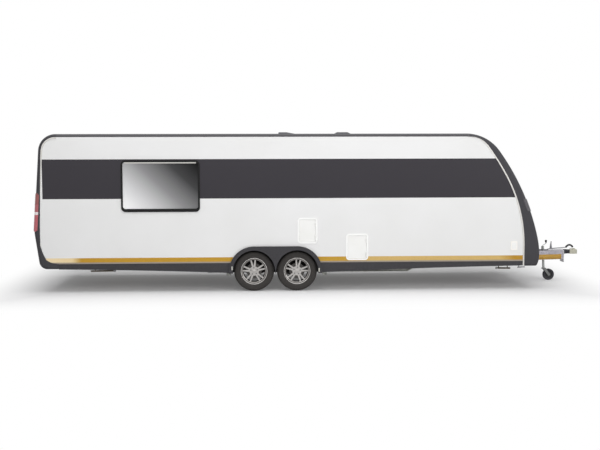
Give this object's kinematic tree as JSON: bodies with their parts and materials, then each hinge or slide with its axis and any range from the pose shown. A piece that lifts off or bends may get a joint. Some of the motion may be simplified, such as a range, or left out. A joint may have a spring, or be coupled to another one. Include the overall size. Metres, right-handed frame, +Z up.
{
  "type": "travel caravan",
  "caption": "Long twin-axle touring caravan with a sloping nose, side windows, hinged entry door and hatches, A-frame drawbar, coupling and jockey wheel.",
  "frame": {"origin": "centre of the overall box at ground level", "axes": "+X forward to the coupling, +Y to the left, +Z up"},
  "size_m": [9.2301, 2.364, 2.6],
  "materials": {
    "wall_white": "gloss",
    "moulding_grey": "satin",
    "roof_white": "gloss",
    "skirt_grey": "matte",
    "bright_rail": "satin",
    "frame_black": "matte",
    "tinted_pane": "gloss",
    "floor_ply": "matte",
    "box_black": "matte",
    "lamp_red": "gloss",
    "lamp_white": "gloss",
    "vent_white": "satin",
    "fitting_white": "satin",
    "galvanised": "dull",
    "drawbar_grey": "dull",
    "rubber_black": "matte",
    "coupling_steel": "satin",
    "handle_black": "matte",
    "alloy": "satin",
    "tyre_rubber": "matte",
    "axle_black": "satin",
    "steady_zinc": "dull"
  },
  "bodies": {
    "caravan_body": {"side_wall_right": "wall_white", "side_wall_left": "wall_white", "roof_panel": "roof_white", "rear_panel": "moulding_grey", "nose_panel": "moulding_grey", "floor_panel": "floor_ply", "wheel_boxes": "box_black", "skirts": "skirt_grey", "wheel_spats": "skirt_grey", "body_rails": "bright_rail", "window_frames": "frame_black", "window_panes": "tinted_pane", "front_windows": "tinted_pane", "tail_lamps": "lamp_red", "corner_lamps": "lamp_white", "roof_vents": "vent_white", "mains_inlet": "fitting_white", "fridge_grilles": "fitting_white", "door_frame": "bright_rail", "hatch_frames": "fitting_white", "chassis_rails": "galvanised", "crossmembers": "galvanised", "drawbar_leg_right": "drawbar_grey", "drawbar_leg_left": "drawbar_grey", "drawbar_head": "drawbar_grey", "drawbar_bellows": "rubber_black", "coupling_head": "coupling_steel", "coupling_handle": "coupling_steel", "handbrake_lever": "galvanised", "axle_tubes": "axle_black", "trailing_arms": "axle_black", "jockey_tube": "galvanised", "jockey_crank": "galvanised", "jockey_clamp": "galvanised", "steady_brackets": "galvanised"},
    "entry_door": {"entry_door": "wall_white", "entry_door_pane": "tinted_pane", "entry_door_handle": "handle_black"},
    "hatch_upper": {"hatch_upper": "fitting_white"},
    "hatch_lower": {"hatch_lower": "fitting_white"},
    "nose_lid": {"nose_lid": "moulding_grey"},
    "jockey_stem": {"jockey_stem": "galvanised"},
    "jockey_fork": {"jockey_fork": "galvanised"},
    "jockey_wheel": {"jockey_tyre": "rubber_black", "jockey_hub": "galvanised"},
    "steady_rear_right": {"steady_rear_right": "steady_zinc"},
    "steady_rear_left": {"steady_rear_left": "steady_zinc"},
    "steady_front_right": {"steady_front_right": "steady_zinc"},
    "steady_front_left": {"steady_front_left": "steady_zinc"},
    "wheel_rear_right": {"tyre_rear_right": "tyre_rubber", "rim_rear_right": "alloy"},
    "wheel_rear_left": {"tyre_rear_left": "tyre_rubber", "rim_rear_left": "alloy"},
    "wheel_front_right": {"tyre_front_right": "tyre_rubber", "rim_front_right": "alloy"},
    "wheel_front_left": {"tyre_front_left": "tyre_rubber", "rim_front_left": "alloy"}
  },
  "joints": [
    {"name": "wheel_rear_right_spin", "type": "hinge", "parent": "caravan_body", "child": "wheel_rear_right", "pos_m": [-1.075, -1.025, 0.327], "axis": [0, 1, 0], "continuous": true},
    {"name": "wheel_rear_left_spin", "type": "hinge", "parent": "caravan_body", "child": "wheel_rear_left", "pos_m": [-1.075, 1.025, 0.327], "axis": [0, 1, 0], "continuous": true},
    {"name": "wheel_front_right_spin", "type": "hinge", "parent": "caravan_body", "child": "wheel_front_right", "pos_m": [-0.375, -1.025, 0.327], "axis": [0, 1, 0], "continuous": true},
    {"name": "wheel_front_left_spin", "type": "hinge", "parent": "caravan_body", "child": "wheel_front_left", "pos_m": [-0.375, 1.025, 0.327], "axis": [0, 1, 0], "continuous": true},
    {"name": "entry_door_hinge", "type": "hinge", "parent": "caravan_body", "child": "entry_door", "pos_m": [1.53369, 1.174, 1.46], "axis": [0, 0, -1], "range_deg": [0, 165]},
    {"name": "hatch_upper_hinge", "type": "hinge", "parent": "caravan_body", "child": "hatch_upper", "pos_m": [-0.07686, -1.163, 0.9], "axis": [0, 0, 1], "range_deg": [0, 110]},
    {"name": "hatch_lower_hinge", "type": "hinge", "parent": "caravan_body", "child": "hatch_lower", "pos_m": [0.75074, -1.163, 0.7], "axis": [0, 0, 1], "range_deg": [0, 110]},
    {"name": "nose_lid_hinge", "type": "hinge", "parent": "caravan_body", "child": "nose_lid", "pos_m": [3.5261, 0, 1.13], "axis": [0, -1, 0], "range_deg": [0, 80]},
    {"name": "jockey_stem_slide", "type": "slide", "parent": "caravan_body", "child": "jockey_stem", "axis": [-0.0541, 0, 0.9985], "range_m": [-0.05, 0.135]},
    {"name": "jockey_swivel", "type": "hinge", "parent": "jockey_stem", "child": "jockey_fork", "pos_m": [4.02232, 0, 0.21568], "axis": [-0.0541, 0, 0.9985], "continuous": true},
    {"name": "jockey_wheel_spin", "type": "hinge", "parent": "jockey_fork", "child": "jockey_wheel", "pos_m": [4.108, 0, 0.1], "axis": [0, 1, 0], "continuous": true},
    {"name": "steady_rear_right_hinge", "type": "hinge", "parent": "caravan_body", "child": "steady_rear_right", "pos_m": [-3.88, -0.69, 0.396], "axis": [0, -1, 0], "range_deg": [0, 65]},
    {"name": "steady_rear_left_hinge", "type": "hinge", "parent": "caravan_body", "child": "steady_rear_left", "pos_m": [-3.88, 0.69, 0.396], "axis": [0, -1, 0], "range_deg": [0, 65]},
    {"name": "steady_front_right_hinge", "type": "hinge", "parent": "caravan_body", "child": "steady_front_right", "pos_m": [2.56, -0.69, 0.396], "axis": [0, 1, 0], "range_deg": [0, 65]},
    {"name": "steady_front_left_hinge", "type": "hinge", "parent": "caravan_body", "child": "steady_front_left", "pos_m": [2.56, 0.69, 0.396], "axis": [0, 1, 0], "range_deg": [0, 65]}
  ]
}
